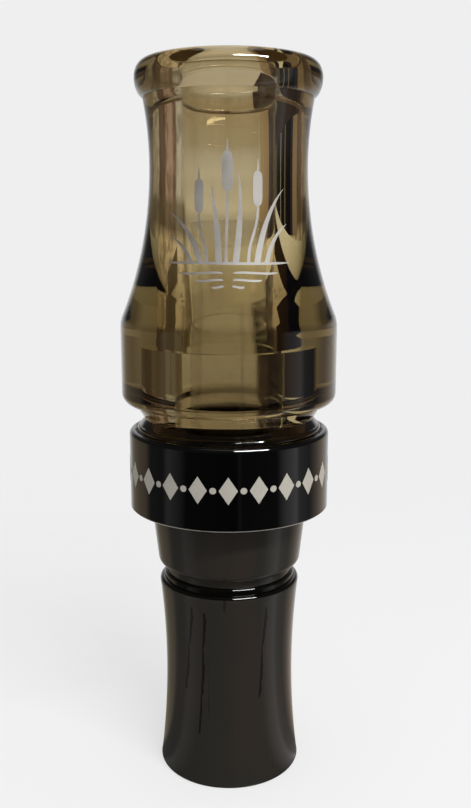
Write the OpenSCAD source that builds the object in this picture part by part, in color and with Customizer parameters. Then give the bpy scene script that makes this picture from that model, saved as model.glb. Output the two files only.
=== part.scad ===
// Duck call: a clear smoke barrel with a pressed band, on a black insert that
// holds the toneboard, its two reeds and their wedge. +Z runs from the bell
// end, which it stands on, up to the mouth.

/* [Overall] */
// Length from the bell end to the mouth
overall_h = 123.8; // [121:0.1:128]

/* [Insert] */
// Diameter of the bell end that it stands on
bell_d = 25.4; // [24.4:0.1:26.4]
// Diameter of the bell where it is narrowest
bell_waist_d = 23.08; // [22.6:0.01:23.6]
// Height of the bell's narrowest place
bell_waist_z = 18.3; // [16:0.1:20]
// Height of the bell's side
bell_h = 34.8; // [32:0.1:37]
// Small round at the bell end's outer edge
bell_edge = 0.3; // [0.1:0.05:0.6]
// Height of the stepped lip above the bell's side
lip_h = 1.9; // [1.6:0.05:2.4]
// Round at the lip's lower, outer edge
lip_round = 0.75; // [0.5:0.05:0.9]
// Diameter of the lip above its step
lip_step_d = 23.4; // [23:0.1:23.6]
// Diameter of the lanyard neck
neck_d = 22.4; // [21.6:0.1:22.8]
// Height of the lanyard neck between lip and collar
neck_h = 1.25; // [1:0.05:2]
// Diameter of the collar just above its lower round
collar_d = 25.5; // [24.8:0.1:26.5]
// Diameter of the collar at its top
collar_top_d = 27.8; // [27:0.1:28.8]
// Height of the collar
collar_h = 11.6; // [10.5:0.1:13]
// Length of the insert's tenon inside the barrel
tenon_h = 16.4; // [15.5:0.1:18]
// Diameter of the exhaust bore
exhaust_d = 12; // [10.5:0.1:12.6]
// Diameter of the exhaust's flare at the bell end
flare_d = 19; // [17:0.1:20.5]
// Height of the exhaust's flare
flare_h = 9; // [6:0.1:12]

/* [Seals] */
// Thickness of each O-ring
ring_t = 1; // [0.8:0.05:1.15]
// Height of the lower O-ring above the collar
ring_low_z = 4.2; // [3.5:0.1:5.2]
// Distance between the two O-rings
ring_pitch = 7.6; // [6:0.1:8.4]

/* [Barrel] */
// Diameter of the barrel's thick body
body_d = 37.3; // [36:0.1:38.1]
// Height of the body's straight side
body_h = 11.3; // [9:0.1:14]
// Radius of the corner between body and neck
body_round = 5.5; // [4:0.1:6.5]
// Width of the round under the body
shoulder_round_w = 2.35; // [1.6:0.05:2.8]
// Height of the round under the body
shoulder_round_h = 2.05; // [1.4:0.05:2.6]
// Diameter of the neck at its narrowest
waist_d = 26.6; // [25.6:0.1:27.4]
// Distance from the mouth down to the neck's narrowest place
waist_drop = 16.25; // [14.5:0.05:17.5]
// Radius of the neck's hollow curve above its narrowest place
high_curve_r = 57.5; // [50:0.5:64]
// Diameter of the bead round the mouth
bead_d = 31.2; // [30.4:0.1:32]
// Width of the bead's rounded outer part
bead_w = 1.83; // [1.4:0.01:2.2]
// Height of the bead's widest place below the mouth
bead_top_h = 2.66; // [2.2:0.01:3]
// Height of the bead's lower round
bead_low_h = 3.18; // [2.7:0.01:3.6]
// Diameter of the mouth bore
bore_d = 15.88; // [15.4:0.01:16.3]
// Width of the round that leads into the mouth bore
mouth_round_w = 3.4; // [2.5:0.1:4]
// Depth of the round that leads into the mouth bore
mouth_round_h = 2.5; // [1.5:0.1:3]
// Diameter of the socket for the insert
socket_d = 19.05; // [18.7:0.05:19.6]
// Length of socket left free above the insert
socket_spare = 11; // [8:0.1:14]
// Diameter at the bottom of the groove above the band
groove_d = 29.6; // [28.4:0.1:30.2]
// Height from the band's seat up to the groove's bottom
groove_low_h = 1.2; // [0.8:0.1:1.6]
// Height from the groove's bottom up to the body's shoulder
groove_high_h = 2.4; // [1.8:0.1:3]
// Round at the top edge of the band's seat
seat_round = 0.5; // [0.3:0.05:0.7]

/* [Band] */
// Outer diameter of the band
band_d = 35; // [34.4:0.1:35.6]
// Height of the band
band_h = 13.9; // [13:0.1:15]
// Diameter of the barrel's seat for the band
seat_d = 32.2; // [31.8:0.1:32.6]
// How far the band reaches down over the collar
band_drop = 0.8; // [0.5:0.1:1.2]
// How far the band's seat stands above the band
seat_rise = 0.8; // [0.7:0.1:1.2]
// Round at the band's upper outer edge
band_round = 0.9; // [0.5:0.05:1]
// Chamfer at the band's upper inner edge
band_chamfer = 0.6; // [0.3:0.05:0.8]
// Chamfer at the band's lower outer edge
band_foot = 0.22; // [0.1:0.02:0.4]

/* [Toneboard] */
// Diameter of the toneboard, which is a rod cut flat on one side
board_d = 14; // [13.7:0.1:14.4]
// Length of the toneboard's root inside the insert
board_root_h = 13; // [10:0.1:14]
// Length of the toneboard above the insert
board_h = 30.8; // [28:0.1:33]
// Diameter of the air passage through the toneboard's root
passage_d = 9; // [8:0.1:9.6]
// Distance of the sounding face in front of the axis, at the reeds' root
face_y = 0.8; // [0.4:0.1:1.2]
// Slope of the sounding face away from the reeds, in degrees
face_slope = 2.6; // [2.3:0.1:2.8]
// Width of the tone channel
channel_w = 5.2; // [4.5:0.1:6]
// Depth of the tone channel below the sounding face
channel_t = 3.6; // [3:0.1:4]
// Length of board beyond the tone channel's closed end
channel_end = 4.5; // [3.5:0.1:6]

/* [Reeds] */
// Width of the reeds
reed_w = 13; // [12.4:0.1:13.2]
// Thickness of each reed
reed_t = 0.3; // [0.25:0.01:0.36]
// Distance from the tip of the board down to the end of the long reed
long_reed_short_of_tip = 1; // [0.6:0.1:2]
// Distance from the tip of the board down to the end of the short reed
short_reed_short_of_tip = 8; // [5:0.1:10]
// Length of reed held under the wedge
reed_root = 4.4; // [4:0.1:5]
// Radius of the reeds' upper corners
reed_corner = 2; // [1:0.1:3]
// Slope of the wedge's underside away from the reeds, in degrees
wedge_slope = 3.2; // [2.9:0.1:4]

/* [Fits] */
// Radial clearance of the insert's tenon in the socket
tenon_gap = 0.05; // [0.03:0.01:0.08]
// Clearance round each O-ring, to the socket and to its groove
ring_gap = 0.03; // [0.02:0.01:0.05]
// Clearance between pressed pieces: band on barrel, toneboard and wedge in insert
press_gap = 0.02; // [0.01:0.01:0.04]
// Clearance between board, reeds and wedge
reed_gap = 0.03; // [0.02:0.01:0.05]

/* [Hidden] */
$fn = 128;
over = 1;            // how far a cutter runs past the face that it opens

// Heights up the axis, from the bell end
lip_top = bell_h + lip_h;
collar_z = lip_top + neck_h;
seat_z = collar_z + collar_h;            // the barrel's end rests here on the collar
tenon_top = seat_z + tenon_h;
board_top = tenon_top + board_h;
board_z = tenon_top - board_root_h;
band_z = seat_z - band_drop;
band_top = band_z + band_h;
seat_top = band_top + seat_rise;
groove_z = seat_top + groove_low_h;
shoulder_z = groove_z + groove_high_h;
corner_z = shoulder_z + shoulder_round_h + body_h;
waist_z = overall_h - waist_drop;
bead_z = overall_h - bead_top_h;
socket_top = tenon_top + socket_spare;

// Turned radii
socket_r = socket_d / 2;
tenon_r = socket_r - tenon_gap;
ring_path_r = socket_r - ring_gap - ring_t / 2;
ring_bed_r = ring_path_r - ring_t / 2 - ring_gap;
ring_bed_h = ring_t + 4 * ring_gap;
ring_low = seat_z + ring_low_z;
ring_high = ring_low + ring_pitch;
bore_r = bore_d / 2;
body_r = body_d / 2;
waist_r = waist_d / 2;
groove_r = groove_d / 2;
seat_r = seat_d / 2;
bead_r = bead_d / 2 - bead_w;            // centre of the bead's rounds

// Centres of the turned arcs
bell_sag = (bell_d - bell_waist_d) / 2;
bell_arc_r = (bell_waist_z * bell_waist_z + bell_sag * bell_sag) / (2 * bell_sag);
bell_turn = asin((bell_waist_z - bell_edge) / bell_arc_r);
lip_turn = asin((bell_h - bell_waist_z) / bell_arc_r);
bell_top_r = bell_waist_d / 2 + bell_arc_r * (1 - cos(lip_turn));
lip_high_round = (lip_step_d - neck_d) / 2;
collar_round = (collar_d - neck_d) / 2;
corner_r = body_r - body_round;
corner_in = waist_r - corner_r;
corner_rise = waist_z - corner_z;
// The neck's lower curve is upright at its narrowest place and meets the body's corner smoothly
low_curve_r = (pow(corner_in, 2) + pow(corner_rise, 2) - pow(body_round, 2))
    / (2 * (body_round - corner_in));
low_axis_r = waist_r + low_curve_r;
high_axis_r = waist_r + high_curve_r;
corner_turn = atan2(corner_rise, low_curve_r + corner_in);

// Reeds and wedge
root_z = tenon_top - reed_root;
long_top = board_top - long_reed_short_of_tip;
short_top = board_top - short_reed_short_of_tip;
long_y = -face_y - reed_gap;
short_y = long_y - reed_t - reed_gap;
wedge_y = short_y - reed_t - reed_gap;
channel_z = root_z - 2;                  // the air passage opens into the channel here

// Points along an ellipse's arc, from one angle to another
function arc(centre, rx, ry, from, to, steps) =
    [for (i = [0:steps])
        let (a = from + (to - from) * i / steps)
        [centre[0] + rx * cos(a), centre[1] + ry * sin(a)]];

// Where the neck's upper curve meets the bead's lower round
bead_foot_z = bead_z - bead_low_h;
neck_turn = asin((bead_foot_z - waist_z) / high_curve_r);
neck_top_r = high_axis_r - high_curve_r * cos(neck_turn);
bead_start = acos((neck_top_r - bead_r) / bead_w);

// An upright round cutter or rod
module rod(d, z0, z1) {
    translate([0, 0, z0]) cylinder(d = d, h = z1 - z0);
}

// A block in front of a plane that leans back above the reeds' root
module front_of(y, slope, w, depth, h) {
    translate([0, y, root_z])
        rotate([-slope, 0, 0])
            translate([-w / 2, -depth, -over])
                cube([w, depth, h + over]);
}

module insert_outline() {
    polygon(concat(
        [[0, 0]],
        arc([bell_d / 2 - bell_edge, bell_edge], bell_edge, bell_edge, -90, 0, 4),
        arc([bell_waist_d / 2 + bell_arc_r, bell_waist_z], bell_arc_r, bell_arc_r,
            180 + bell_turn, 180 - lip_turn, 24),
        arc([bell_top_r - lip_round, bell_h], lip_round, lip_round, 0, 90, 5),
        [[lip_step_d / 2, bell_h + lip_round]],
        arc([neck_d / 2, lip_top - lip_high_round], lip_high_round, lip_high_round, 0, 90, 5),
        arc([neck_d / 2, collar_z + collar_round], collar_round, collar_round, -90, 0, 6),
        [[collar_top_d / 2, seat_z], [tenon_r, seat_z], [tenon_r, tenon_top], [0, tenon_top]]));
}
// A ring-shaped bed cut into the tenon for an O-ring
module ring_bed(z) {
    difference() {
        rod(socket_d + over, z - ring_bed_h / 2, z + ring_bed_h / 2);
        rod(2 * ring_bed_r, z - ring_bed_h, z + ring_bed_h);
    }
}

module insert() {
    color([0.09, 0.085, 0.08])
        difference() {
            rotate_extrude() insert_outline();
            rod(exhaust_d, -over, board_z + over);
            translate([0, 0, -over])
                cylinder(d1 = flare_d + (flare_d - exhaust_d) * over / flare_h, d2 = exhaust_d,
                         h = flare_h + over);
            rod(board_d + 2 * press_gap, board_z, tenon_top + over);
            ring_bed(ring_low);
            ring_bed(ring_high);
        }
}

module o_ring(z) {
    color([0.05, 0.05, 0.05])
        translate([0, 0, z])
            rotate_extrude()
                translate([ring_path_r, 0])
                    circle(d = ring_t, $fn = 48);
}

module toneboard() {
    color([0.62, 0.56, 0.44])
        difference() {
            rod(board_d, board_z, board_top);
            rod(passage_d, board_z - over, channel_z + over);
            sounding_face_cut();
            tone_channel();
        }
}

// All that lies in front of the sounding face, from a little below the reeds' root
module sounding_face_cut() {
    difference() {
        front_of(-face_y, face_slope, 2 * board_d, board_d, board_h + reed_root + over);
        rod(3 * board_d, board_z, root_z - 2 * reed_gap);
    }
}

// The air channel along the board, open at the sounding face
module tone_channel() {
    channel_y = channel_t - channel_w / 2;
    channel_h = board_top - channel_end - channel_z;
    translate([0, -face_y, channel_z]) {
        translate([0, channel_y, 0])
            cylinder(d = channel_w, h = channel_h);
        translate([-channel_w / 2, 0, 0])
            cube([channel_w, channel_y, channel_h]);
    }
}

// A flat reed with rounded upper corners, its back at y
module reed(y, top) {
    color([0.85, 0.85, 0.82])
        translate([0, y, root_z])
            rotate([90, 0, 0])
                linear_extrude(reed_t)
                    polygon(concat(
                        [[-reed_w / 2, 0], [reed_w / 2, 0]],
                        arc([reed_w / 2 - reed_corner, top - root_z - reed_corner],
                            reed_corner, reed_corner, 0, 90, 6),
                        arc([reed_corner - reed_w / 2, top - root_z - reed_corner],
                            reed_corner, reed_corner, 90, 180, 6)));
}

// A block that fills the insert's bore in front of the reeds' roots
module wedge() {
    color([0.75, 0.7, 0.6])
        difference() {
            rod(board_d, root_z, tenon_top);
            mirror([0, 1, 0])
                front_of(-wedge_y, wedge_slope, 2 * board_d, 2 * board_d, reed_root + over);
        }
}

module barrel_outline() {
    polygon(concat(
        [[socket_r, seat_z], [seat_r, seat_z]],
        arc([seat_r - seat_round, seat_top - seat_round], seat_round, seat_round, 0, 90, 5),
        [[groove_r, groove_z]],
        arc([body_r - shoulder_round_w, shoulder_z + shoulder_round_h],
            shoulder_round_w, shoulder_round_h, -90, 0, 8),
        arc([corner_r, corner_z], body_round, body_round, 0, corner_turn, 6),
        arc([low_axis_r, waist_z], low_curve_r, low_curve_r, 180 + corner_turn, 180, 18),
        arc([high_axis_r, waist_z], high_curve_r, high_curve_r, 180, 180 - neck_turn, 8),
        arc([bead_r, bead_z], bead_w, bead_low_h, -bead_start, 0, 10),
        arc([bead_r, bead_z], bead_w, bead_top_h, 0, 90, 10),
        arc([bore_r + mouth_round_w, overall_h - mouth_round_h], mouth_round_w, mouth_round_h,
            90, 180, 10),
        [[bore_r, socket_top], [socket_r, socket_top]]));
}

module barrel() {
    color([0.45, 0.38, 0.26])
        rotate_extrude() barrel_outline();
}

module band() {
    inner_r = seat_r + press_gap;
    color([0.03, 0.03, 0.035])
        rotate_extrude()
            polygon(concat(
                [[inner_r, band_z]],
                [[band_d / 2 - band_foot, band_z], [band_d / 2, band_z + band_foot]],
                arc([band_d / 2 - band_round, band_top - band_round], band_round, band_round,
                    0, 90, 6),
                [[inner_r + band_chamfer, band_top], [inner_r, band_top - band_chamfer]]));
}

insert();
o_ring(ring_low);  // o_ring_lower
o_ring(ring_high);  // o_ring_upper
toneboard();
reed(long_y, long_top);  // reed_long
reed(short_y, short_top);  // reed_short
wedge();
barrel();
band();
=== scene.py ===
import math

import bpy
from mathutils import Matrix, Vector


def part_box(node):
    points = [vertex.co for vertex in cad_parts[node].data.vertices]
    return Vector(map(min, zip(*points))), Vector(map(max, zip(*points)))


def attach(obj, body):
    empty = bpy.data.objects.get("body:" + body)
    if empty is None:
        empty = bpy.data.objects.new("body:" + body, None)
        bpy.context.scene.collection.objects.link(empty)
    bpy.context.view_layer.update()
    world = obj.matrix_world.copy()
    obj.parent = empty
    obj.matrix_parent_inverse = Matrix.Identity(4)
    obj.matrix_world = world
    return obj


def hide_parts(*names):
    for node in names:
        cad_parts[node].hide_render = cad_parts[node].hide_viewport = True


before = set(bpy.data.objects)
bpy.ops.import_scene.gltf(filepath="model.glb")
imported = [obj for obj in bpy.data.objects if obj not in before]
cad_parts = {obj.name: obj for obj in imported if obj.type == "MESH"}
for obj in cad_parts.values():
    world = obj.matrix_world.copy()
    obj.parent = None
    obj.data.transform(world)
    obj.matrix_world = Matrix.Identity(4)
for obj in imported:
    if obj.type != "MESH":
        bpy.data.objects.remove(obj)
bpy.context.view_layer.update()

bl_info = {
    "name": "Duck Call",
    "version": (1, 0, 0),
    "blender": (4, 5, 0),
    "location": "3D View > Sidebar > Duck Call",
    "description": "Turned smoke barrel, pressed band and black insert of a duck call",
    "category": "Add Mesh",
}

MM = 0.001
# Faces round a turned piece, and the angle above which its edges stay crisp
AROUND = 256
CRISP = math.radians(24)
# The middle of the call, from which the room's directions start
HEART = Vector((0, 0, 0.075))


# ---------------------------------------------------------------- sizes and colours

def length(name, description, mm):
    return bpy.props.FloatProperty(
        name=name, description=description, default=mm * MM, min=0,
        subtype="DISTANCE", unit="LENGTH", precision=5)


def colour(name, description, rgb):
    return bpy.props.FloatVectorProperty(
        name=name, description=description, default=rgb, size=3, min=0, max=1, subtype="COLOR")


def amount(name, description, value, high=1.0):
    return bpy.props.FloatProperty(
        name=name, description=description, default=value, min=0, max=high)


class BarrelSettings(bpy.types.PropertyGroup):
    body_round: length("Body Round", "Radius of the corner between body and neck", 5.5)
    body_h: length("Body Side", "Height of the body's straight side", 11.3)
    shoulder_w: length("Shoulder Width", "Width of the round under the body", 2.35)
    shoulder_h: length("Shoulder Height", "Height of the round under the body", 2.05)
    waist_d: length("Waist", "Diameter of the neck at its narrowest", 26.6)
    waist_drop: length("Waist Drop", "Distance from the mouth to the narrowest place", 16.25)
    high_r: length("Upper Curve", "Radius of the neck's hollow curve above the waist", 57.5)
    bead_d: length("Bead", "Diameter of the bead round the mouth", 31.2)
    bead_w: length("Bead Width", "Width of the bead's rounded outer part", 1.83)
    bead_top: length("Bead Top", "Height of the bead's widest place below the mouth", 2.66)
    bead_low: length("Bead Foot", "Height of the bead's lower round", 3.18)
    bore_d: length("Bore", "Diameter of the mouth bore", 15.88)
    mouth_w: length("Mouth Round Width", "Width of the round that leads into the bore", 3.4)
    mouth_h: length("Mouth Round Depth", "Depth of the round that leads into the bore", 3.1)
    socket_d: length("Socket", "Diameter of the socket for the insert", 19.05)
    socket_spare: length("Socket Spare", "Length of socket above the insert", 11)
    groove_d: length("Groove", "Diameter at the bottom of the groove above the band", 29.6)
    groove_low: length("Groove Foot", "Height from the seat to the groove's bottom", 1.2)
    groove_high: length("Groove Head", "Height from the groove's bottom to the shoulder", 2.4)
    seat_d: length("Seat", "Diameter of the barrel's seat for the band", 32.2)
    seat_rise: length("Seat Rise", "How far the seat stands above the band", 0.8)
    seat_round_w: length("Seat Round Width", "Width of the round at the seat's top", 0.5)
    seat_round_h: length("Seat Round Height", "Height of the round at the seat's top", 0.8)
    index: amount("Index", "Refractive index of the smoke plastic", 1.585, 3)
    skin: colour("Skin", "Tint that the polished surface gives", (1.0, 0.95, 0.83))
    smoke: colour("Smoke", "Light that the smoke plastic lets through", (0.333, 0.25, 0.0))
    # Painted light: a plain glow that the plastic gives where light is mirrored many times inside
    painted_inner_glow: colour("Painted Inner Glow", "Shade where light is mirrored many times inside", (0.42, 0.3, 0.18))
    smoke_depth: amount("Smoke Depth", "How strongly the plastic takes up light", 108, 2000)
    etch_rise: length("Etching Rise", "How far the etching stands proud of the neck", 0.035)
    # Painted light on the etching: the colour of its shaded left side and of its lit right side
    etch_painted_shade: colour("Etching Painted Shade", "Colour of the etching on its left", (0.17, 0.15, 0.135))
    etch_painted_light: colour("Etching Painted Light", "Colour of the etching on its right", (0.52, 0.5, 0.46))


class BandSettings(bpy.types.PropertyGroup):
    fit: length("Fit", "Clearance between band and barrel", 0.02)
    top_round: length("Top Round", "Round at the upper outer edge", 0.9)
    chamfer: length("Chamfer", "Chamfer at the upper inner edge", 0.6)
    foot: length("Foot", "Chamfer at the lower outer edge", 0.22)
    black: colour("Black", "Colour of the band", (0.0012, 0.0012, 0.0014))
    print_rise: length("Print Rise", "How far the print stands proud of the band", 0.03)
    # Painted light on the print: the colour of its shaded left side and of its lit right side
    print_painted_shade: colour("Print Painted Shade", "Colour of the print on its left", (0.36, 0.34, 0.3))
    print_painted_light: colour("Print Painted Light", "Colour of the print on its right", (0.5, 0.47, 0.4))


class InsertSettings(bpy.types.PropertyGroup):
    bell_d: length("Bell End", "Diameter of the bell end", 25.4)
    bell_waist_d: length("Bell Waist", "Diameter of the bell where it is narrowest", 23.08)
    bell_waist_z: length("Bell Waist Height", "Height of the bell's narrowest place", 18.3)
    bell_h: length("Bell Side", "Height of the bell's side", 34.8)
    edge: length("Edge", "Small round at the bell end", 0.3)
    lip_h: length("Lip", "Height of the stepped lip", 1.9)
    lip_round: length("Lip Round", "Round at the lip's outer edge", 0.75)
    lip_step_d: length("Lip Step", "Diameter of the lip above its step", 23.4)
    neck_d: length("Lanyard Neck", "Diameter of the lanyard neck", 22.4)
    neck_h: length("Neck Height", "Height of the lanyard neck", 1.25)
    collar_d: length("Collar", "Diameter of the collar above its lower round", 25.5)
    collar_h: length("Collar Height", "Height of the collar", 11.6)
    exhaust_d: length("Exhaust", "Diameter of the exhaust bore", 12)
    flare_d: length("Flare", "Diameter of the exhaust's flare at the bell end", 19)
    flare_h: length("Flare Height", "Height of the exhaust's flare", 9)
    root_fit: length("Root Fit", "Clearance round the toneboard's root", 0.02)
    tenon_fit: length("Tenon Fit", "Clearance of the tenon in the socket", 0.05)
    ring_fit: length("Ring Fit", "Clearance round each O-ring", 0.03)
    black: colour("Black", "Colour of the insert", (0.020, 0.0185, 0.0155))


class SoundSettings(bpy.types.PropertyGroup):
    board: colour("Board", "Tint of the toneboard and the wedge", (0.72, 0.72, 0.69))
    board_presence: amount("Board Presence", "How much the board and the wedge show", 0.2)
    film: colour("Film", "Tint of the reeds", (0.7, 0.68, 0.6))
    film_presence: amount("Film Presence", "How much the reeds show", 0.16)
    rubber: colour("Rubber", "Colour of the seals", (0.01, 0.01, 0.01))


class StageSettings(bpy.types.PropertyGroup):
    pale: colour("Pale", "Colour of the floor and of what lies behind", (0.863, 0.863, 0.863))
    ambient: amount("Ambient", "Strength of the soft light from all round", 0.75, 4)
    strip: amount("Strip", "Radiance of the strip lamp", 45, 200)
    shine: amount("Shine", "Radiance of the strip lamp's face in gloss", 90, 500)


# ---------------------------------------------------------------- shader nodes

class Wire:
    """A socket's value, for use in Python expressions."""

    def __init__(self, nodes, socket):
        self.nodes = nodes
        self.socket = socket

    def __add__(self, other):
        return self.nodes.math("ADD", self, other)

    def __sub__(self, other):
        return self.nodes.math("SUBTRACT", self, other)

    def __rsub__(self, other):
        return self.nodes.math("SUBTRACT", other, self)

    def __mul__(self, other):
        return self.nodes.math("MULTIPLY", self, other)

    def __truediv__(self, other):
        return self.nodes.math("DIVIDE", self, other)

    def __rtruediv__(self, other):
        return self.nodes.math("DIVIDE", other, self)

    def __gt__(self, other):
        return self.nodes.math("GREATER_THAN", self, other)

    def __lt__(self, other):
        return self.nodes.math("LESS_THAN", self, other)

    __radd__ = __add__
    __rmul__ = __mul__


class Nodes:
    """Builds one node tree."""

    def __init__(self, tree):
        self.tree = tree
        tree.nodes.clear()

    def add(self, kind, settings=None, values=None):
        """Adds a node and gives its outputs, by name or by number."""
        node = self.tree.nodes.new("ShaderNode" + kind)
        for name, value in (settings or {}).items():
            if name == "stops":
                set_stops(node.color_ramp, value)
            else:
                setattr(node, name, value)
        for name, value in (values or {}).items():
            socket = node.inputs[name]
            if isinstance(value, Wire):
                self.tree.links.new(value.socket, socket)
            elif socket.type == "RGBA" and len(value) == 3:
                socket.default_value = (*value, 1)
            else:
                socket.default_value = value
        return Outputs(self, node)

    def math(self, operation, *values):
        return self.add("Math", {"operation": operation}, dict(enumerate(values)))[0]

    def mix(self, factor, first, second):
        """Goes from the first colour to the second as the factor goes from 0 to 1."""
        # A Mix node's inputs 6 and 7 are its colours, and output 2 is their mix
        return self.add("Mix", {"data_type": "RGBA"}, {0: factor, 6: first, 7: second})[2]

    def ramp(self, place, stops):
        return self.add("ValToRGB", {"stops": stops}, {"Fac": place})["Color"]

    def stretch(self, place, scale):
        """Scales each of the three parts of a place or a colour."""
        return self.add("VectorMath", {"operation": "MULTIPLY"}, {0: place, 1: scale})["Vector"]

    def noise(self, place, scale, detail):
        """Noise with its own scale along each axis."""
        return self.add("TexNoise", values={
            "Vector": self.stretch(place, scale), "Scale": 1.0, "Detail": detail})["Fac"]


def set_stops(ramp, stops):
    """Sets a ramp's stops. Each has a place and a shade, which is a colour or one grey value."""
    while len(ramp.elements) < len(stops):
        ramp.elements.new(0.5)
    for stop, (place, shade) in zip(ramp.elements, stops):
        stop.position = place
        stop.color = (*shade, 1) if isinstance(shade, tuple) else (shade, shade, shade, 1)


class Outputs:
    """A node's output sockets as wires."""

    def __init__(self, nodes, node):
        self.nodes = nodes
        self.node = node

    def __getitem__(self, key):
        return Wire(self.nodes, self.node.outputs[key])


def new_material(name):
    material = bpy.data.materials.new(name)
    material.use_nodes = True
    return material, Nodes(material.node_tree)


def smoke_plastic(s):
    """Clear plastic with a brown smoke through its whole depth."""
    material, nodes = new_material("smoke plastic")
    shell = nodes.add("BsdfPrincipled", values={
        "Base Color": tuple(s.skin), "Roughness": 0.0, "IOR": s.index,
        "Transmission Weight": 1.0})
    depth = nodes.add("VolumeAbsorption", values={
        "Color": tuple(s.smoke), "Density": s.smoke_depth})
    painted_inner_glow = nodes.add("Emission", values={"Color": tuple(s.painted_inner_glow), "Strength": 1.0})
    # Light that is mirrored for the third time goes no further; there the plastic glows with a
    # plain painted light instead
    often = nodes.add("LightPath")["Glossy Depth"] > 2.5
    surface = nodes.add("MixShader", values={0: often, 1: shell["BSDF"], 2: painted_inner_glow["Emission"]})
    nodes.add("OutputMaterial", values={"Surface": surface["Shader"], "Volume": depth["Volume"]})
    return material


def clear_plastic(name, tint, presence):
    """Clear plastic; the lower its presence, the less it shows."""
    material, nodes = new_material(name)
    shell = nodes.add("BsdfPrincipled", values={
        "Base Color": tint, "Roughness": 0.08, "IOR": 1.45, "Transmission Weight": 1.0,
        "Alpha": presence})
    nodes.add("OutputMaterial", values={"Surface": shell["BSDF"]})
    return material


# How far a long scratch sways about its line, how wide it gets and how much narrower it is
# where it wears thin, all in radians about the axis
SCORE_SWAY, SCORE_W, SCORE_WEAR = 0.08, 0.05, 0.006


def black_gloss(name, black, roughness, index, polished=None, painted_edge_light=None, scores=()):
    """Polished black with fine lines along the axis, from turning and handling.

    polished is a band of height where the surface is smoother and its colour is darkened as
    painted shade, as under the collar. The second band is painted pale as a painted highlight
    along an edge.
    A score is a long scratch: the azimuth in degrees and the height of its top, then those of
    its foot."""
    material, nodes = new_material(name)
    place = nodes.add("TexCoord")["Object"]
    parts = nodes.add("SeparateXYZ", values={"Vector": place})
    height = parts["Z"]
    haze = nodes.noise(place, (120, 120, 40), 4.0)
    lines = nodes.noise(place, (900, 900, 22), 3.0)
    scuffs = nodes.ramp(lines, [(0.25, 0.5), (0.3, 0.0)])
    if scores:
        azimuth = nodes.math("ARCTAN2", parts["X"], 0 - parts["Y"])
        wobble = nodes.add("TexNoise", {"noise_dimensions": "1D"},
                           {"W": height, "Scale": 220.0, "Detail": 3.0})["Fac"]
        for top_a, top_z, low_a, low_z in scores:
            top_a, low_a = math.radians(top_a), math.radians(low_a)
            lean = (top_a - low_a) / (top_z - low_z)
            line = (height - low_z) * lean + low_a
            off = azimuth - line - wobble * SCORE_SWAY + SCORE_SWAY / 2
            near = (wobble * SCORE_W - SCORE_WEAR) > nodes.math("ABSOLUTE", off)
            scuffs = scuffs + near * (height > low_z) * (height < top_z) * 0.8
    warm = nodes.mix(nodes.ramp(haze, [(0.45, 0.0), (0.65, 1.0)]), tuple(black),
                     (1.2 * black[0], 1.03 * black[1], 1.03 * black[2]))
    shade = nodes.mix(scuffs, warm, tuple(0.15 * c for c in black))
    rough = roughness + scuffs * 0.12 + haze * 0.04
    # Painted shade: the polished band is also much darker, as where the lip lies under the collar
    if polished:
        smooth_and_shaded = (height > polished[0]) * (height < polished[1])
        shade = nodes.mix(smooth_and_shaded, shade, tuple(0.1 * c for c in black))
        rough = rough * (1 - smooth_and_shaded * 0.8)
    # Painted highlight: this band is painted pale, as an edge that catches the light
    if painted_edge_light:
        edge_light_mask = (height > painted_edge_light[0]) * (height < painted_edge_light[1])
        shade = nodes.mix(edge_light_mask * haze, shade, (0.5, 0.48, 0.45))
    shell = nodes.add("BsdfPrincipled", values={
        "Base Color": shade, "Roughness": rough, "IOR": index})
    nodes.add("OutputMaterial", values={"Surface": shell["BSDF"]})
    return material


def frosted(name, shaded_side, lit_side, presence, half_width):
    """A fine-grained etched or printed mark with painted light: a painted shade on its left and a
    lighter painted light on its right, as if lit from the right.

    half_width is how far the mark reaches to either side of the front."""
    material, nodes = new_material(name)
    place = nodes.add("TexCoord")["Object"]
    grain = nodes.add("TexNoise", values={"Vector": place, "Scale": 5200.0, "Detail": 2.0})["Fac"]
    clouds = nodes.add("TexNoise", values={"Vector": place, "Scale": 260.0, "Detail": 2.0})["Fac"]
    across = nodes.add("SeparateXYZ", values={"Vector": place})["X"] / (2 * half_width) + 0.5
    # Painted light: from a painted shade on the left to painted light on the right, broken up by
    # random clouds
    painted_light_across = nodes.ramp(across + clouds * 0.5 - 0.25, [(0.15, 0.0), (0.75, 1.0)])
    shade = nodes.mix(painted_light_across, tuple(shaded_side), tuple(lit_side))
    shell = nodes.add("BsdfPrincipled", values={
        "Base Color": nodes.mix(grain, nodes.stretch(shade, (0.6, 0.6, 0.6)), shade),
        "Roughness": 0.45, "Alpha": presence - grain * 0.2})
    nodes.add("OutputMaterial", values={"Surface": shell["BSDF"]})
    return material


# ---------------------------------------------------------------- turned shapes

def arc(centre, rx, ry, start, end, steps):
    """Points along an ellipse's arc, from one angle to another in degrees."""
    angles = [math.radians(start + (end - start) * i / steps) for i in range(steps + 1)]
    return [(centre[0] + rx * math.cos(a), centre[1] + ry * math.sin(a)) for a in angles]


def add_piece(name, mesh, material, body):
    """Adds a mesh to the scene as a piece that moves with its body."""
    mesh.materials.append(material)
    piece = bpy.data.objects.new(name, mesh)
    bpy.context.scene.collection.objects.link(piece)
    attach(piece, body)
    return piece


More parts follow.
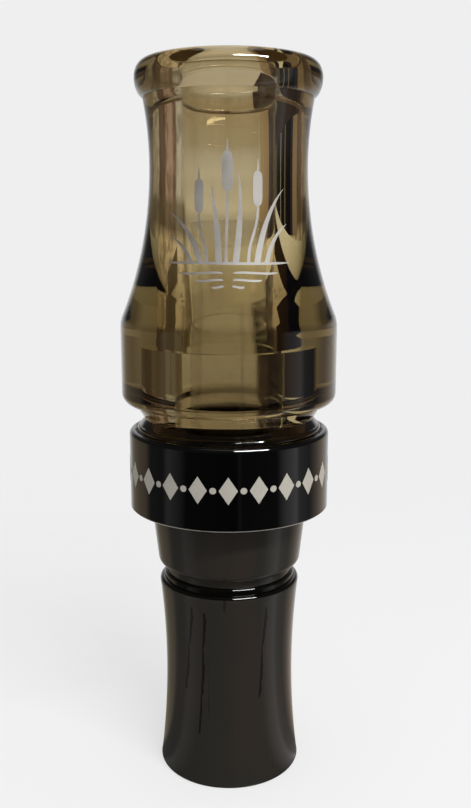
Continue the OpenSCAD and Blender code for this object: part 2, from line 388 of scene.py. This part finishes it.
def turned(name, outline, material, body, slot, *nodes):
    """Turns a closed outline of (radius, height) about the axis, in place of the nodes."""
    # Points closer than this are one
    least = 0.002 * MM
    points = [p for i, p in enumerate(outline) if math.dist(p, outline[i - 1]) > least]
    count = len(points)
    verts = [(r * math.cos(a), r * math.sin(a), z)
             for a in (2 * math.pi * k / AROUND for k in range(AROUND)) for r, z in points]
    faces = []
    for k in range(AROUND):
        here, there = k * count, (k + 1) % AROUND * count
        for i in range(count):
            j = (i + 1) % count
            faces.append((here + i, there + i, there + j, here + j))
    mesh = bpy.data.meshes.new(name)
    mesh.from_pydata(verts, [], faces)
    mesh.update()
    if sum(p.center.dot(p.normal) * p.area for p in mesh.polygons) < 0:
        mesh.flip_normals()
    mesh.shade_smooth()
    mesh.set_sharp_from_angle(angle=CRISP)
    piece = add_piece(name, mesh, material, body)
    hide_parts(*nodes)


def neck_foot(s):
    """Height at which the body's side ends and the corner to the neck begins."""
    seat_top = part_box("band")[1].z + s.seat_rise
    return seat_top + s.groove_low + s.groove_high + s.shoulder_h + s.body_h


def lower_curve(s, rise):
    """Radius of the neck's lower curve, which meets the body's corner smoothly."""
    inward = s.waist_d / 2 - (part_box("barrel")[1].x - s.body_round)
    return (inward ** 2 + rise ** 2 - s.body_round ** 2) / (2 * (s.body_round - inward))


class DUCK_CALL_OT_barrel(bpy.types.Operator):
    """Turn the smoke barrel"""
    bl_idname = "duck_call.barrel"
    bl_label = "Barrel"

    def execute(self, context):
        s = context.scene.duck_call_barrel
        low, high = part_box("barrel")
        seat_z, mouth_z = low.z, high.z
        body_r = high.x
        tenon_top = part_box("insert")[1].z
        socket_r, bore_r, seat_r = s.socket_d / 2, s.bore_d / 2, s.seat_d / 2
        seat_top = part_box("band")[1].z + s.seat_rise
        groove_z = seat_top + s.groove_low
        shoulder_z = groove_z + s.groove_high
        corner_z = neck_foot(s)
        waist_z = mouth_z - s.waist_drop
        waist_r = s.waist_d / 2
        corner_r = body_r - s.body_round
        rise = waist_z - corner_z
        low_r = lower_curve(s, rise)
        turn = math.degrees(math.atan2(rise, low_r + waist_r - corner_r))
        bead_z = mouth_z - s.bead_top
        bead_r = s.bead_d / 2 - s.bead_w
        neck_turn = math.degrees(math.asin((bead_z - s.bead_low - waist_z) / s.high_r))
        neck_top_r = waist_r + s.high_r * (1 - math.cos(math.radians(neck_turn)))
        bead_start = math.degrees(math.acos((neck_top_r - bead_r) / s.bead_w))
        socket_top = tenon_top + s.socket_spare
        outline = [
            (socket_r, seat_z), (seat_r, seat_z),
            *arc((seat_r - s.seat_round_w, seat_top - s.seat_round_h),
                 s.seat_round_w, s.seat_round_h, 0, 90, 16),
            (s.groove_d / 2, groove_z),
            *arc((body_r - s.shoulder_w, shoulder_z + s.shoulder_h), s.shoulder_w, s.shoulder_h,
                 -90, 0, 24),
            *arc((corner_r, corner_z), s.body_round, s.body_round, 0, turn, 10),
            *arc((waist_r + low_r, waist_z), low_r, low_r, 180 + turn, 180, 40),
            *arc((waist_r + s.high_r, waist_z), s.high_r, s.high_r, 180, 180 - neck_turn, 16),
            *arc((bead_r, bead_z), s.bead_w, s.bead_low, -bead_start, 0, 24),
            *arc((bead_r, bead_z), s.bead_w, s.bead_top, 0, 90, 24),
            *arc((bore_r + s.mouth_w, mouth_z - s.mouth_h), s.mouth_w, s.mouth_h, 90, 180, 24),
            (bore_r, socket_top), (socket_r, socket_top)]
        turned("smoke_barrel", outline, smoke_plastic(s), "barrel_body", "barrel", "barrel")
        return {"FINISHED"}


class DUCK_CALL_OT_band(bpy.types.Operator):
    """Turn the pressed band"""
    bl_idname = "duck_call.band"
    bl_label = "Band"

    def execute(self, context):
        s = context.scene.duck_call_band
        low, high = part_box("band")
        outer_r = high.x
        inner_r = context.scene.duck_call_barrel.seat_d / 2 + s.fit
        outline = [
            (inner_r, low.z), (outer_r - s.foot, low.z), (outer_r, low.z + s.foot),
            *arc((outer_r - s.top_round, high.z - s.top_round), s.top_round, s.top_round,
                 0, 90, 16),
            (inner_r + s.chamfer, high.z), (inner_r, high.z - s.chamfer)]
        # The band's lower chamfer is painted pale as a painted highlight along its edge
        black = black_gloss("band black", s.black, roughness=0.04, index=1.7,
                            painted_edge_light=(low.z - s.foot, low.z + 0.9 * s.foot))
        turned("black_band", outline, black, "barrel_body", "band", "band")
        return {"FINISHED"}


class DUCK_CALL_OT_insert(bpy.types.Operator):
    """Turn the insert with its bell, lip, collar and tenon"""
    bl_idname = "duck_call.insert"
    bl_label = "Insert"

    def execute(self, context):
        s = context.scene.duck_call_insert
        barrel = context.scene.duck_call_barrel
        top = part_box("insert")[1]
        collar_r, tenon_top = top.x, top.z
        root_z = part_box("toneboard")[0].z
        root_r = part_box("toneboard")[1].y + s.root_fit
        tenon_r = barrel.socket_d / 2 - s.tenon_fit
        lip_top = s.bell_h + s.lip_h
        collar_z = lip_top + s.neck_h
        seat_z = collar_z + s.collar_h
        waist_r = s.bell_waist_d / 2
        sag = s.bell_d / 2 - waist_r
        bell_r = (s.bell_waist_z ** 2 + sag ** 2) / (2 * sag)
        low_turn = math.degrees(math.asin((s.bell_waist_z - s.edge) / bell_r))
        high_turn = math.degrees(math.asin((s.bell_h - s.bell_waist_z) / bell_r))
        side_top_r = waist_r + bell_r * (1 - math.cos(math.radians(high_turn)))
        neck_r = s.neck_d / 2
        step_round = s.lip_step_d / 2 - neck_r
        collar_round = s.collar_d / 2 - neck_r
        outline = [
            (s.flare_d / 2, 0),
            *arc((s.bell_d / 2 - s.edge, s.edge), s.edge, s.edge, -90, 0, 8),
            *arc((waist_r + bell_r, s.bell_waist_z), bell_r, bell_r,
                 180 + low_turn, 180 - high_turn, 40),
            *arc((side_top_r - s.lip_round, s.bell_h), s.lip_round, s.lip_round, 0, 90, 12),
            (s.lip_step_d / 2, s.bell_h + s.lip_round),
            *arc((neck_r, lip_top - step_round), step_round, step_round, 0, 90, 12),
            *arc((neck_r, collar_z + collar_round), collar_round, collar_round, -90, 0, 14),
            (collar_r, seat_z), (tenon_r, seat_z)]
        for node in ("o_ring_lower", "o_ring_upper"):
            low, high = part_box(node)
            bed_r = high.x - (high.z - low.z) - s.ring_fit
            z0, z1 = low.z - 2 * s.ring_fit, high.z + 2 * s.ring_fit
            outline += [(tenon_r, z0), (bed_r, z0), (bed_r, z1), (tenon_r, z1)]
        outline += [(tenon_r, tenon_top), (root_r, tenon_top), (root_r, root_z),
                    (s.exhaust_d / 2, root_z), (s.exhaust_d / 2, s.flare_h)]
        # The lip is smoother, and darkened as painted shade under the collar
        black = black_gloss("insert black", s.black, roughness=0.14, index=1.49,
                            polished=(s.bell_h + 0.3 * s.lip_round, lip_top),
                            scores=((-31, 0.95 * s.bell_h, -41, 0.49 * s.bell_h),
                                    (-20, 0.93 * s.bell_h, -26, 0.27 * s.bell_h),
                                    (32, 0.95 * s.bell_h, 28, 0.46 * s.bell_h)))
        turned("black_insert", outline, black, "insert_body", "insert", "insert")
        return {"FINISHED"}


# ---------------------------------------------------------------- etched and printed marks

def wrapped(name, patches, radius_at, rise, material, body):
    """Lays flat patches round the axis as thin closed slabs, just proud of the surface.

    A patch is a grid of (u, z): u runs round the surface from the front, z up the axis. A slab
    reaches from a fifth of the rise to the whole of it, so it clears the surface."""
    verts, faces = [], []
    for patch in patches:
        rows, columns = len(patch), len(patch[0])
        first = len(verts)
        for lift in (0.2 * rise, rise):
            for row in patch:
                for u, z in row:
                    r = radius_at(z)
                    a = u / r
                    verts.append(((r + lift) * math.sin(a), -(r + lift) * math.cos(a), z))
        layer = rows * columns

        def at(i, j, top):
            return first + top * layer + i * columns + j

        for i in range(rows - 1):
            for j in range(columns - 1):
                quad = [(i, j), (i, j + 1), (i + 1, j + 1), (i + 1, j)]
                faces.append([at(*p, 1) for p in quad])
                faces.append([at(*p, 0) for p in reversed(quad)])
        rim = ([(0, j) for j in range(columns)] + [(i, columns - 1) for i in range(1, rows)]
               + [(rows - 1, j) for j in range(columns - 2, -1, -1)]
               + [(i, 0) for i in range(rows - 2, 0, -1)])
        for p, q in zip(rim, rim[1:] + rim[:1]):
            faces.append([at(*q, 1), at(*p, 1), at(*p, 0), at(*q, 0)])
    mesh = bpy.data.meshes.new(name)
    mesh.from_pydata(verts, [], faces)
    mesh.update()
    add_piece(name, mesh, material, body)


def blade(points, widths, steps=28, across=4):
    """A ribbon along the curve that four points guide, going through the widths given."""
    rows = []
    for i in range(steps + 1):
        t = i / steps
        place = bezier(points, t)
        ahead = bezier(points, min(1, t + 0.01)) - bezier(points, max(0, t - 0.01))
        side = Vector((ahead.y, -ahead.x)).normalized()
        spot = t * (len(widths) - 1)
        k = min(int(spot), len(widths) - 2)
        half = (widths[k] + (widths[k + 1] - widths[k]) * (spot - k)) / 2
        rows.append([tuple((place + side * half * (2 * j / across - 1)) * MM)
                     for j in range(across + 1)])
    return rows


def bezier(points, t):
    """A place on the curve that four points guide, as t goes from 0 to 1."""
    a, b, c, d = (Vector(p) for p in points)
    return a * (1 - t) ** 3 + b * 3 * t * (1 - t) ** 2 + c * 3 * t * t * (1 - t) + d * t ** 3


def upright(u, low, high):
    """Four points in an upright line."""
    return [(u, low + (high - low) * k / 3) for k in range(4)]


def rounded_widths(width, power=5, count=17):
    """Widths that make a ribbon into an oval; the greater the power, the blunter its ends."""
    return [width * (1 - abs(2 * k / (count - 1) - 1) ** power) ** 0.5 for k in range(count)]


# The marsh design, in millimetres: the height of its water line
WATER = 91.6
# Bulrushes: their place on the water, their top, their lean, and the head's height and width
RUSHES = ((-0.3, 110.4, 0.2, 6.4, 1.7), (-3.4, 106.2, -1.2, 5.4, 1.5),
          (3.2, 107.4, 1.5, 5.6, 1.55))
# Length of the spike above a bulrush's head, and how far it reaches into the head
SPIKE, SPIKE_ROOT = 1.6, 0.1
# Leaves: the four points that guide them and the widths that they go through
LEAVES = (
    (((-1.4, WATER), (-1.6, 96), (-2.0, 100), (-2.6, 103.4)), (1.0, 0.95, 0.6, 0.05)),
    (((-4.4, WATER), (-5.2, 95), (-7.2, 98), (-10, 99.4)), (0.9, 0.85, 0.5, 0.05)),
    (((-6.0, WATER), (-6.6, 93.6), (-8.0, 95), (-9.8, 95.6)), (0.7, 0.6, 0.4, 0.05)),
    (((1.2, WATER), (1.8, 97), (2.2, 101), (1.6, 105.4)), (1.0, 0.9, 0.55, 0.05)),
    (((4.6, WATER), (5.2, 96), (6.8, 100.6), (9.4, 103)), (1.0, 0.9, 0.55, 0.05)),
    (((6.2, WATER), (6.8, 94.4), (8.0, 96.4), (10, 97.6)), (0.8, 0.7, 0.45, 0.05)))
# Ripples to either side: how far below the water line they lie, and how far out they reach
RIPPLES = ((1.5, 8.2), (2.6, 5.4), (3.6, 2.6))


def bulrush(x, top, lean, head_h, head_w):
    """A stalk with its brown head and the spike above it."""
    tip = top - SPIKE
    head = tip - head_h
    return [
        blade([(x, WATER), (x, WATER + 4), (x + lean, head - 4), (x + lean, head)], [0.5, 0.36]),
        blade(upright(x + lean, head, tip), rounded_widths(head_w)),
        blade(upright(x + lean, tip - SPIKE_ROOT, top), [0.34, 0.1], steps=6)]


class DUCK_CALL_OT_etching(bpy.types.Operator):
    """Etch a plain marsh design on the neck's front"""
    bl_idname = "duck_call.etching"
    bl_label = "Etching"

    def execute(self, context):
        s = context.scene.duck_call_barrel
        marks = [mark for rush in RUSHES for mark in bulrush(*rush)]
        marks += [blade(points, widths) for points, widths in LEAVES]
        marks.append(blade([(-10.6, WATER), (-3, WATER + 0.25), (3, WATER - 0.25), (10.6, WATER)],
                           rounded_widths(0.42), steps=60))
        for depth, reach in RIPPLES:
            z = WATER - depth
            for side in (-1, 1):
                marks.append(blade([(side * 0.7, z), (side * reach * 0.3, z + 0.35),
                                    (side * reach * 0.7, z - 0.35), (side * reach, z)],
                                   rounded_widths(0.34), steps=32))
        waist_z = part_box("barrel")[1].z - s.waist_drop
        waist_r, high_r = s.waist_d / 2, s.high_r
        low_r = lower_curve(s, waist_z - neck_foot(s))

        def radius_at(z):
            curve_r = high_r if z > waist_z else low_r
            return waist_r + curve_r - math.sqrt(curve_r ** 2 - (z - waist_z) ** 2)

        # The etching is painted darker on its left and lighter on its right, as painted light
        frost = frosted("frosted etching", s.etch_painted_shade, s.etch_painted_light, presence=0.95,
                        half_width=11 * MM)
        wrapped("marsh_etching", marks, radius_at, s.etch_rise, frost, "barrel_body")
        return {"FINISHED"}


# The band's pattern: how many lozenges go round it, and sizes in millimetres
LOZENGES = 22
LOZENGE_W, LOZENGE_H = 3.1, 4.6
DOT_D = 1.1


class DUCK_CALL_OT_band_pattern(bpy.types.Operator):
    """Print a row of lozenges and dots round the band"""
    bl_idname = "duck_call.band_pattern"
    bl_label = "Band Pattern"

    def execute(self, context):
        s = context.scene.duck_call_band
        low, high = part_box("band")
        band_r = high.x
        middle = (low.z + high.z) / 2 / MM
        pitch = 2 * math.pi * band_r / MM / LOZENGES
        marks = []
        for k in range(LOZENGES):
            u = k * pitch
            dot_u = u + pitch / 2
            marks.append(blade(upright(u, middle - LOZENGE_H / 2, middle + LOZENGE_H / 2),
                               [0, LOZENGE_W, 0], steps=16, across=8))
            marks.append(blade(upright(dot_u, middle - DOT_D / 2, middle + DOT_D / 2),
                               rounded_widths(DOT_D, power=2), steps=16))
        # The print is painted darker on its left and lighter on its right, as painted light
        ink = frosted("band print", s.print_painted_shade, s.print_painted_light, presence=1.1,
                      half_width=band_r)
        wrapped("band_pattern", marks, lambda z: band_r, s.print_rise, ink, "barrel_body")
        return {"FINISHED"}


class DUCK_CALL_OT_sound_parts(bpy.types.Operator):
    """Finish the toneboard, reeds, wedge and seals"""
    bl_idname = "duck_call.sound_parts"
    bl_label = "Sound Parts and Seals"

    def execute(self, context):
        s = context.scene.duck_call_sound
        board = clear_plastic("clear board", tuple(s.board), s.board_presence)
        film = clear_plastic("reed film", tuple(s.film), s.film_presence)
        rubber = black_gloss("seal rubber", s.rubber, roughness=0.5, index=1.5)
        finishes = {"toneboard": board, "wedge": board, "reed_long": film, "reed_short": film,
                    "o_ring_lower": rubber, "o_ring_upper": rubber}
        for node, material in finishes.items():
            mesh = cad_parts[node].data
            mesh.materials.clear()
            mesh.materials.append(material)
        return {"FINISHED"}


# ---------------------------------------------------------------- stage

# What the walls of the clear barrel show, in degrees to the right of straight behind
WALL_STREAKS = (
    (-90, 0.6), (-72, 1.0), (-64, 0.95), (-60, (0.45, 0.32, 0.27)), (-54, (0.48, 0.34, 0.29)),
    (-49, (0.82, 0.62, 0.6)), (-28, (0.85, 0.64, 0.64)), (-23, (0.3, 0.2, 0.16)),
    (-16, (0.34, 0.25, 0.21)), (1, (0.22, 0.16, 0.13)), (6, (1.0, 0.95, 0.95)), (54, 1.0),
    (70, 0.3), (89, 0.4))

# How far those streaks sway, in half turns
WALL_SWAY = 0.03

# How far the shade low on those walls takes over, and that shade, by the upward part of the
# direction
LOW_WALLS = ((-0.11, 0.75), (-0.07, 0.0))
LOW_SHADE = ((-0.27, (1.7, 1.5, 1.2)), (-0.2, (0.3, 0.25, 0.18)))

# How far darker patches take over on those walls, by the noise that spreads them
PATCHES = ((0.4, 0.5), (0.52, 0.0))
PATCH_SHADE = (0.2, 0.15, 0.11)

# What is straight behind the clear barrel, by the upward part of the direction
BEHIND = (
    (-0.6, 1.35), (-0.3, 1.32), (-0.22, 1.0), (-0.17, 0.86), (-0.15, 0.86), (-0.128, 1.0),
    (-0.105, 1.2), (-0.07, 1.05), (-0.03, 0.95), (0.01, 1.0), (0.085, 0.84),
    (0.135, (0.7, 0.65, 0.56)), (0.32, (0.7, 0.62, 0.5)))

# How far the shade beside the thick body takes over there, by the upward part of the direction
# and by the half turns to either side, and that shade, in turns from the left
BODY = ((-0.24, 0.75), (-0.2, 1.0), (-0.11, 1.0), (-0.07, 0.0))
ASIDE = ((0.22, 0.0), (0.28, 1.0), (0.36, 1.0), (0.41, 0.0))
BESIDE = ((0.4, (0.2, 0.16, 0.1)), (0.6, (0.55, 0.46, 0.34)))

# What upright gloss mirrors, in turns from straight in front by the left
GLOSS_STREAKS = (
    (0.0, 0.0), (0.13, 0.01), (0.155, 0.1), (0.195, 0.2), (0.215, 0.05), (0.27, 0.06),
    (0.295, (0.32, 0.25, 0.18)), (0.34, (0.3, 0.25, 0.17)), (0.38, (0.35, 0.3, 0.22)),
    (0.43, 0.8), (0.58, 0.8), (0.64, (0.6, 0.5, 0.38)), (0.69, (0.3, 0.24, 0.2)), (0.72, 0.1),
    (0.765, 0.2), (0.78, 0.5), (0.795, 0.4), (0.815, 0.3), (0.835, 0.15), (0.85, 0.02),
    (0.96, 0.01), (0.967, 0.06), (0.975, 0.0))

# What gloss that faces upwards mirrors, in the same turns, and straight above
SKY = (
    (0.0, 0.03), (0.3, 0.04), (0.4, 0.08), (0.46, 0.8), (0.54, 0.8), (0.6, 0.08), (0.7, 0.04),
    (1.0, 0.03))
ZENITH = (0.9, 0.9, 0.88)

# Screens that only light inside the clear barrel shows. Each has its distance behind the axis,
# its corners by x and z, and its shades from left to right by x, all in millimetres
SCREENS = {
    "mouth screen": (
        20, ((9, 121.5), (150, 121.5), (150, 145), (9, 145)),
        ((9, (0.06, 0.04, 0.035)), (150, (0.05, 0.035, 0.03)))),
    "neck screen": (
        20, ((12, 90), (28, 87.5), (60, 86), (150, 84.5), (150, 121.5), (12, 121.5)),
        ((12, (0.62, 0.5, 0.37)), (19.2, (0.55, 0.42, 0.3)), (20, 0.0), (22, (0.06, 0.06, 0.16)),
         (23, (0.06, 0.06, 0.16)), (24, 0.0), (36, 0.01), (37, (0.4, 0.33, 0.26)),
         (38.5, (0.4, 0.33, 0.26)), (39.5, 0.01), (54, 0.01), (55, 0.5), (58, 0.5), (59, 0.02),
         (90, 0.03), (100, 0.2), (150, 0.2))),
    "flare screen": (
        20, ((-8, 77), (150, 77), (150, 84.5), (60, 86), (28, 87.5), (-8, 90)),
        ((-8, (0.95, 0.93, 0.88)), (4, (1.4, 1.38, 1.3)), (12, (1.7, 1.7, 1.6)),
         (30, (1.7, 1.7, 1.6)), (150, 0.9))),
    "body screen": (
        19.8, ((9.9, 67.5), (22, 66), (40, 62), (80, 54), (150, 38), (150, 76), (9.9, 77)),
        ((9.9, 0.0), (16, (0.0, 0.0, 0.015)), (30, (0.0, 0.0, 0.015)), (36, (0.05, 0.03, 0.02)),
         (150, (0.07, 0.045, 0.03)))),
    "left screen": (
        19.8, ((-60, 55), (-25, 64), (-25, 76), (-60, 75)),
        ((-60, (0.3, 0.25, 0.18)), (-34, (0.3, 0.25, 0.18)), (-25, (0.4, 0.34, 0.25))))}

# The strip lamp's ends as distance, azimuth and elevation from the heart, and its width
STRIP_LEFT, STRIP_RIGHT = (0.6, 8, 46), (0.6, 52, 39)
STRIP_W = 0.05

# Half the floor's side, and the two shares of its shade where shadows show: lit and glowing
FLOOR_HALF = 3.0
FLOOR_LIT, FLOOR_GLOW = (0.3, 0.3, 0.3), (0.555, 0.555, 0.555)
# How far the floor shows the room alone, with no shadow, by the distance from the origin
FLOOR_FADE = ((0.03, 0.0), (0.25, 1.0))

# The camera's place, how far it looks down in degrees, and its lens
CAMERA_PLACE = (0.00115, -0.1575, 0.09645)
CAMERA_DIP = 10.74
CAMERA_LENS = 40.54


def from_heart(distance, azimuth, elevation):
    """A place seen from the call's middle, the azimuth to the right of the front."""
    a, e = math.radians(azimuth), math.radians(elevation)
    way = Vector((math.sin(a) * math.cos(e), -math.cos(a) * math.cos(e), math.sin(e)))
    return way * distance + HEART


def add_glow(nodes, shade, strength=1.0):
    """Ends a material's nodes in plain light."""
    glow = nodes.add("Emission", values={"Color": shade, "Strength": strength})
    nodes.add("OutputMaterial", values={"Surface": glow["Emission"]})


def add_plane(name, corners):
    """A flat face of the stage that the camera and soft light pass through."""
    mesh = bpy.data.meshes.new(name)
    mesh.from_pydata([tuple(c) for c in corners], [], [tuple(range(len(corners)))])
    material, nodes = new_material(name)
    mesh.materials.append(material)
    plane = bpy.data.objects.new(name, mesh)
    bpy.context.scene.collection.objects.link(plane)
    plane.visible_camera = False
    plane.visible_diffuse = False
    plane.visible_shadow = False
    return plane, nodes


def add_strip(name, left, right, width, radiance, shine):
    """A strip lamp between two places, turned to the heart, with a brighter face for gloss."""
    lamp = bpy.data.lights.new(name, "AREA")
    lamp.shape = "RECTANGLE"
    along = right - left
    lamp.size, lamp.size_y = along.length, width
    lamp.energy = radiance * math.pi * lamp.size * lamp.size_y
    middle = (left + right) / 2
    side = along.normalized()
    back = middle - HEART
    back = (back - side * back.dot(side)).normalized()
    up = back.cross(side)
    strip = bpy.data.objects.new(name, lamp)
    turn = Matrix((side, up, back)).transposed().to_4x4()
    strip.matrix_world = Matrix.Translation(middle) @ turn
    strip.visible_glossy = False
    bpy.context.scene.collection.objects.link(strip)
    rise = up * width / 2
    nodes = add_plane(name + " face", [left - rise, right - rise, right + rise, left + rise])[1]
    add_glow(nodes, (1, 1, 1), shine)


def add_screen(name, depth, corners, shades):
    """A flat screen that only light inside the clear barrel shows."""
    screen, nodes = add_plane(name, [(x * MM, depth * MM, z * MM) for x, z in corners])
    screen.visible_glossy = False
    place = nodes.add("SeparateXYZ", values={"Vector": nodes.add("NewGeometry")["Position"]})
    first, last = shades[0][0], shades[-1][0]
    along = (place["X"] / MM - first) / (last - first)
    stops = [((x - first) / (last - first), shade) for x, shade in shades]
    add_glow(nodes, nodes.ramp(along, stops))


def by_height(nodes, up, stops):
    """A ramp over the upward part of a direction, moved up so that it starts above 0."""
    shift = 0.6
    return nodes.ramp(up + shift, [(place + shift, shade) for place, shade in stops])


def room(nodes, way, pale):
    """What the clear and glossy pieces see round them, by direction from the heart."""
    parts = nodes.add("SeparateXYZ", values={"Vector": way})
    east, north, up = parts["X"], parts["Y"], parts["Z"]
    turn = nodes.math("ARCTAN2", east, north) / (2 * math.pi) + 0.5

    # The walls show the same streaks twice in a turn
    sway = nodes.add("TexNoise", {"noise_dimensions": "1D"}, {"W": up, "Scale": 9.0})["Fac"]
    half_turn = nodes.math("FRACT", turn * 2 + (0.5 - WALL_SWAY / 2) + sway * WALL_SWAY)
    walls = nodes.ramp(half_turn, [(0.5 + a / 180, shade) for a, shade in WALL_STREAKS])
    walls = nodes.mix(by_height(nodes, up, LOW_WALLS), walls, by_height(nodes, up, LOW_SHADE))
    patches = nodes.ramp(nodes.noise(way, (5, 5, 12), 2.0), PATCHES)
    walls = nodes.mix(patches, walls, PATCH_SHADE)

    aside = nodes.ramp(nodes.math("ABSOLUTE", turn * 2 - 1), ASIDE)
    behind = nodes.mix(by_height(nodes, up, BODY) * aside, by_height(nodes, up, BEHIND),
                       nodes.ramp(turn, BESIDE))

    sky = nodes.mix(nodes.ramp(up, [(0.90, 0.0), (0.95, 1.0)]), nodes.ramp(turn, SKY), ZENITH)
    gloss = nodes.mix(nodes.ramp(up, [(0.02, 0.0), (0.12, 1.0)]),
                      nodes.ramp(turn, GLOSS_STREAKS), sky)

    path = nodes.add("LightPath")
    mirrored = path["Glossy Depth"] > 0.5
    entered = path["Transmission Depth"] > 1.5
    outside = nodes.mix(mirrored, pale, gloss)
    return nodes.mix(entered, outside, nodes.mix(mirrored, behind, walls)), path


def add_world(pale, ambient):
    """The room as the world, with its own strength for soft light."""
    world = bpy.data.worlds.new("pale room")
    world.use_nodes = True
    bpy.context.scene.world = world
    nodes = Nodes(world.node_tree)
    shade, path = room(nodes, nodes.add("TexCoord")["Generated"], pale)
    soft = nodes.mix(path["Is Diffuse Ray"], shade, (ambient, ambient, ambient))
    glow = nodes.add("Background", values={"Color": soft, "Strength": 1.0})
    nodes.add("OutputWorld", values={"Surface": glow["Background"]})


def add_floor(pale):
    """A floor that shows the room, and the call's shadow to the camera."""
    half = FLOOR_HALF
    mesh = bpy.data.meshes.new("floor")
    mesh.from_pydata([(-half, -half, 0), (half, -half, 0), (half, half, 0), (-half, half, 0)],
                     [], [(0, 1, 2, 3)])
    material, nodes = new_material("pale floor")
    spot = nodes.add("NewGeometry")["Position"]
    way = nodes.add("VectorMath", {"operation": "SUBTRACT"}, {0: spot, 1: tuple(HEART)})
    way = nodes.add("VectorMath", {"operation": "NORMALIZE"}, {0: way["Vector"]})["Vector"]
    shade, path = room(nodes, way, pale)
    far = nodes.add("Emission", values={"Color": shade, "Strength": 1.0})
    lit = nodes.add("BsdfDiffuse", values={"Color": FLOOR_LIT})
    glow = nodes.add("Emission", values={"Color": FLOOR_GLOW, "Strength": 1.0})
    near = nodes.add("AddShader", values={0: lit["BSDF"], 1: glow["Emission"]})
    away = nodes.add("VectorMath", {"operation": "LENGTH"}, {0: spot})["Value"]
    shadowed = path["Is Camera Ray"] * (1 - nodes.ramp(away, FLOOR_FADE))
    both = nodes.add("MixShader", values={0: shadowed, 1: far["Emission"], 2: near["Shader"]})
    nodes.add("OutputMaterial", values={"Surface": both["Shader"]})
    mesh.materials.append(material)
    floor = bpy.data.objects.new("floor", mesh)
    bpy.context.scene.collection.objects.link(floor)


def add_camera():
    """The camera in front of the call, looking a little down on it."""
    camera = bpy.data.objects.new("camera", bpy.data.cameras.new("camera"))
    camera.data.sensor_width = 36
    camera.data.lens = CAMERA_LENS
    camera.data.clip_start = 0.01
    camera.location = CAMERA_PLACE
    camera.rotation_euler = (math.radians(90 - CAMERA_DIP), 0, 0)
    bpy.context.scene.collection.objects.link(camera)
    bpy.context.scene.camera = camera


class DUCK_CALL_OT_stage(bpy.types.Operator):
    """Set up the pale floor, the lamp, the world, the screens and the camera"""
    bl_idname = "duck_call.stage"
    bl_label = "Stage"

    def execute(self, context):
        s = context.scene.duck_call_stage
        add_world(tuple(s.pale), s.ambient)
        add_floor(tuple(s.pale))
        add_strip("strip lamp", from_heart(*STRIP_LEFT), from_heart(*STRIP_RIGHT), STRIP_W,
                  s.strip, s.shine)
        for name, (depth, corners, shades) in SCREENS.items():
            add_screen(name, depth, corners, shades)
        add_camera()
        context.scene.view_settings.view_transform = "Standard"
        return {"FINISHED"}


class DUCK_CALL_PT_panel(bpy.types.Panel):
    """The duck call's sizes, colours and pieces in the sidebar"""
    bl_label = "Duck Call"
    bl_idname = "DUCK_CALL_PT_panel"
    bl_space_type = "VIEW_3D"
    bl_region_type = "UI"
    bl_category = "Duck Call"

    def draw(self, context):
        for name, group in GROUPS.items():
            settings = getattr(context.scene, name)
            box = self.layout.box()
            for setting in group.__annotations__:
                box.prop(settings, setting)
        for piece in PIECES:
            self.layout.operator(piece.bl_idname)


GROUPS = {"duck_call_barrel": BarrelSettings, "duck_call_band": BandSettings,
          "duck_call_insert": InsertSettings, "duck_call_sound": SoundSettings,
          "duck_call_stage": StageSettings}
PIECES = (DUCK_CALL_OT_barrel, DUCK_CALL_OT_etching, DUCK_CALL_OT_band,
          DUCK_CALL_OT_band_pattern, DUCK_CALL_OT_insert, DUCK_CALL_OT_sound_parts,
          DUCK_CALL_OT_stage)


def register():
    for kind in (*GROUPS.values(), *PIECES, DUCK_CALL_PT_panel):
        bpy.utils.register_class(kind)
    for name, kind in GROUPS.items():
        setattr(bpy.types.Scene, name, bpy.props.PointerProperty(type=kind))


def unregister():
    for name in GROUPS:
        delattr(bpy.types.Scene, name)
    for kind in (DUCK_CALL_PT_panel, *reversed(PIECES), *reversed(GROUPS.values())):
        bpy.utils.unregister_class(kind)


def main():
    register()
    for piece in PIECES:
        group, call = piece.bl_idname.split(".")
        getattr(getattr(bpy.ops, group), call)()


if __name__ == "__main__":
    main()
